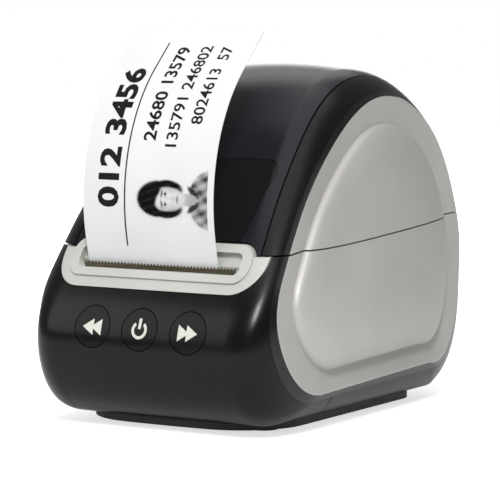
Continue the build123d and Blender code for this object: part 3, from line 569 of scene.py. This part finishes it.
# a plain drawn head and shoulders: places and sizes are shares of the picture, ink 1 is full black;
# "out" and "turn" are for parts on both sides; a shade is its strength, start and softness, and a
# start below zero lets it grow downwards or to the left
portrait = {
    "shirt": {"middle": (0.5, -0.02), "size": (0.40, 0.27), "edge": 0.02, "ink": 0.62,
              "weave": 0.26, "across": 34, "up": 24, "slant": 9},
    "collar": {"middle": (0.5, 0.185), "size": (0.105, 0.035), "edge": 0.10, "ink": 0.88,
               "out": 0.10, "turn": 0.75},
    "neck": {"middle": (0.5, 0.28), "size": (0.085, 0.15), "edge": 0.05, "ink": 0.16,
             "shade": (0.30, -0.30, 0.03)},
    "crown": {"middle": (0.5, 0.66), "size": (0.25, 0.28), "edge": 0.025, "ink": 0.96,
              "streak": 0.04, "across": 60, "up": 25},
    "lock": {"middle": (0.5, 0.52), "size": (0.11, 0.19), "edge": 0.05, "out": 0.15, "turn": -0.15},
    "face": {"middle": (0.5, 0.53), "size": (0.165, 0.235), "edge": 0.035, "ink": 0.06,
             "cheekShade": (0.26, 0.12, 0.02), "chinShade": (0.10, -0.38, 0.03),
             "sideShade": (0.08, -0.46, 0.06)},
    "fringe": {"level": 0.655, "wave": 0.035, "top": 0.44, "waves": 14, "edge": 0.008},
    "brow": {"middle": (0.5, 0.607), "size": (0.045, 0.012), "edge": 0.25, "ink": 0.85,
             "out": 0.071, "turn": -0.12},
    "eye": {"middle": (0.5, 0.560), "size": (0.036, 0.016), "edge": 0.25, "ink": 0.55, "out": 0.071},
    "pupil": {"middle": (0.5, 0.560), "size": (0.014, 0.015), "edge": 0.2, "ink": 0.98, "out": 0.071},
    "cheek": {"middle": (0.5, 0.47), "size": (0.045, 0.04), "edge": 0.4, "ink": 0.08, "out": 0.105},
    "nose": {"middle": (0.516, 0.500), "size": (0.012, 0.05), "edge": 0.5, "ink": 0.16},
    "noseFoot": {"middle": (0.5, 0.452), "size": (0.030, 0.009), "edge": 0.5, "ink": 0.30},
    "mouth": {"middle": (0.5, 0.398), "size": (0.048, 0.015), "edge": 0.25, "ink": 0.66},
}


def soft(value, width):
    return 1 / (1 + math.exp(-max(-40.0, min(40.0, value / width))))


def shaded(shade, value):
    strength, start, width = shade
    return strength * soft(value - start, width)


def oval(u, v, middle, size, turn, edge):
    c, s = math.cos(turn), math.sin(turn)
    du, dv = u - middle[0], v - middle[1]
    return soft(1 - math.hypot((du * c + dv * s) / size[0], (dv * c - du * s) / size[1]), edge)


def pictureTone(u, v):
    # u runs across the picture and v up it; returns 0 for bare paper, 1 for full ink
    tone = 0.0
    shirt, neck, crown = portrait["shirt"], portrait["neck"], portrait["crown"]
    face, fringe = portrait["face"], portrait["fringe"]

    def part(name, side=0):
        p = portrait[name]
        middle = (p["middle"][0] + side * p.get("out", 0.0), p["middle"][1])
        return oval(u, v, middle, p["size"], side * p.get("turn", 0.0), p["edge"])

    def lay(share, level):
        return tone + share * (level - tone)

    def ease(name, side=0):
        return portrait[name]["ink"] * part(name, side)

    weave = math.sin(u * shirt["across"]) * math.sin(v * shirt["up"] + u * shirt["slant"])
    tone = lay(part("shirt"), shirt["ink"] + shirt["weave"] * weave)
    for side in sides:
        tone = lay(part("collar", side), portrait["collar"]["ink"])
    tone = lay(part("neck"), neck["ink"] + shaded(neck["shade"], -v))
    hair = max(part("crown"), part("lock", -1), part("lock", 1))
    tone = lay(hair, crown["ink"] + crown["streak"] * math.sin(u * crown["across"] + v * crown["up"]))
    hairline = fringe["level"] + fringe["wave"] * math.cos((u - fringe["top"]) * fringe["waves"])
    skin = face["ink"] + shaded(face["cheekShade"], abs(u - 0.5))
    skin = skin + shaded(face["chinShade"], -v) + shaded(face["sideShade"], -u)
    tone = lay(part("face") * (1 - soft(v - hairline, fringe["edge"])), skin)
    for side in sides:
        for name in ("brow", "eye", "pupil"):
            tone = lay(part(name, side), portrait[name]["ink"])
        tone += ease("cheek", side)
    tone += ease("nose")
    tone += ease("noseFoot")
    tone = lay(part("mouth"), portrait["mouth"]["ink"])
    return max(0.0, min(1.0, tone))


def greyPrint():
    # ink dots that close up where the picture is dark
    setting = {"paper": (0.84, 0.842, 0.85, 1), "ink": grey(0.003), "dotScale": 2600.0, "dotMiddle": 0.42,
               "dotShare": 0.2, "palest": 0.03, "darkest": 0.93, "smooth": 0.5, "dull": 0.6, "shine": 0.06}
    f = Finish("greyPrint")
    tone = f.node("ShaderNodeAttribute", {"attribute_name": "tone"}, out="Fac")
    dots = f.cells(setting["dotScale"], "Distance")
    dotted = tone + (dots - setting["dotMiddle"]) * setting["dotShare"]
    share = f.span(dotted, setting["palest"], setting["darkest"])
    return f.surface(Base_Color=f.blend(share, setting["paper"], setting["ink"]),
                     Roughness=f.span(dots, 0.0, 1.0, setting["smooth"], setting["dull"]),
                     Specular_IOR_Level=setting["shine"])


def labelPicture():
    setting = {"left": -11.0, "right": 22.5, "low": 2.0, "high": 30.0, "columns": 150, "rows": 128,
               "bare": 0.012}
    clearSelection()
    bpy.ops.mesh.primitive_grid_add(x_subdivisions=setting["columns"], y_subdivisions=setting["rows"], size=1)
    picture = bpy.context.object
    picture.name = "labelPicture"
    tones = picture.data.color_attributes.new("tone", "FLOAT_COLOR", "POINT")
    darkness = []
    for index, vertex in enumerate(picture.data.vertices):
        # the head points to the strip's left edge
        darkness.append(pictureTone(vertex.co.y + 0.5, 0.5 - vertex.co.x))
        tones.data[index].color = [darkness[-1]] * 3 + [1]
        vertex.co = (setting["left"] + (vertex.co.x + 0.5) * (setting["right"] - setting["left"]),
                     setting["low"] + (vertex.co.y + 0.5) * (setting["high"] - setting["low"]), 0)
    # what stays unprinted is cut away
    only(picture)
    bpy.ops.object.mode_set(mode="EDIT")
    bpy.ops.mesh.select_all(action="DESELECT")
    bpy.ops.object.mode_set(mode="OBJECT")
    for face in picture.data.polygons:
        face.select = all(darkness[corner] < setting["bare"] for corner in face.vertices)
    bpy.ops.object.mode_set(mode="EDIT")
    bpy.ops.mesh.delete(type="FACE")
    bpy.ops.object.mode_set(mode="OBJECT")
    layOnLabel(picture)
    dress(picture, greyPrint())
    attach(picture, "base")


labelPicture()
print("label picture ready")


def paleFloor():
    # the camera sees it fade to white away from the object; gloss shows a part of that glow
    setting = {"size": 6.0, "glow": 0.68, "near": 0.13, "far": 0.55, "mirrored": 0.35,
               "low": grey(0.78), "high": grey(0.81), "driftScale": 3.0}
    clearSelection()
    bpy.ops.mesh.primitive_plane_add(size=setting["size"])
    floor = bpy.context.object
    floor.name = "paleFloor"
    f = Finish("paleFloor")
    rays = ("Is Camera Ray", "Is Transmission Ray", "Is Glossy Ray")
    direct, through, mirrored = f.node("ShaderNodeLightPath", out=rays)
    seen = f.maths("MAXIMUM", direct, through) + mirrored * setting["mirrored"]
    drift = f.span(f.noise(setting["driftScale"], detail=2.0), 0.0, 1.0)
    colour = f.blend(drift, setting["low"], setting["high"])
    distance = f.node("ShaderNodeVectorMath", {"operation": "LENGTH"}, {0: f.place}, out="Value")
    fade = f.span(distance, setting["near"], setting["far"], setting["glow"], 1.0)
    diffuse = f.node("ShaderNodeBsdfDiffuse", None, {"Color": colour})
    glow = f.node("ShaderNodeEmission", None, {"Strength": seen * fade})
    f.end(f.node("ShaderNodeAddShader", None, {0: diffuse, 1: glow}))
    dress(floor, f.material)


def paleRoom():
    setting = {"light": 0.22, "seen": 1.0}
    room = bpy.data.worlds.new("paleRoom")
    bpy.context.scene.world = room
    g = Graph(room, "ShaderNodeOutputWorld")
    direct = g.node("ShaderNodeLightPath", out="Is Camera Ray")
    level = g.node("ShaderNodeMix", None, {0: direct, 2: setting["light"], 3: setting["seen"]})
    g.end(g.node("ShaderNodeBackground", None, {"Color": grey(1), "Strength": level}))


lamps = {
    "overhead": {"at": (0.1, 0.0, 1.15), "aim": (0, 0, 0.05), "size": (1.3, 1.0), "power": 5.0},
    "rearTop": {"at": (-0.40, 0.80, 0.95), "aim": (0, 0.02, 0.12), "size": (0.8, 0.5), "power": 1.6},
    "rearFill": {"at": (-0.75, 1.15, 0.40), "aim": (0, 0.02, 0.09), "size": (0.7, 0.5), "power": 3.5},
    "frontLeft": {"at": (-0.9, -1.0, 0.7), "aim": (0, -0.02, 0.07), "size": (0.9, 0.9), "power": 4.0},
    "frontRight": {"at": (0.47, -0.76, 0.84), "aim": (0.03, -0.05, 0.07), "size": (0.17, 0.34), "power": 7.5},
}


def hangLamp(name, lamp):
    light = bpy.data.lights.new(name, "AREA")
    light.shape = "RECTANGLE"
    light.size, light.size_y = lamp["size"]
    light.energy = lamp["power"]
    holder = bpy.data.objects.new(name, light)
    bpy.context.scene.collection.objects.link(holder)
    holder.location = lamp["at"]
    aim = Vector(lamp["aim"]) - holder.location
    holder.rotation_euler = aim.to_track_quat("-Z", "Y").to_euler()


def addViewer():
    setting = {"azimuth": 30.3, "elevation": 4.9, "roll": 0.35, "lens": 187.5, "sensor": 36,
               "distance": 1.071, "target": (-0.0058, 0.0011, 0.0642)}
    azimuth, elevation, roll = (math.radians(setting[key]) for key in ("azimuth", "elevation", "roll"))
    level = math.cos(elevation)
    back = Vector((math.sin(azimuth) * level, -math.cos(azimuth) * level, math.sin(elevation)))
    lens = bpy.data.cameras.new("viewer")
    lens.lens = setting["lens"]
    lens.sensor_width = setting["sensor"]
    camera = bpy.data.objects.new("viewer", lens)
    bpy.context.scene.collection.objects.link(camera)
    camera.location = Vector(setting["target"]) + back * setting["distance"]
    turn = back.to_track_quat("Z", "Y").to_matrix() @ Matrix.Rotation(roll, 3, "Z")
    camera.rotation_euler = turn.to_euler()
    return camera


paleFloor()
paleRoom()
for name, lamp in lamps.items():
    hangLamp(name, lamp)
bpy.context.scene.camera = addViewer()
bpy.context.scene.view_settings.view_transform = "Standard"
print("floor, light and camera ready")
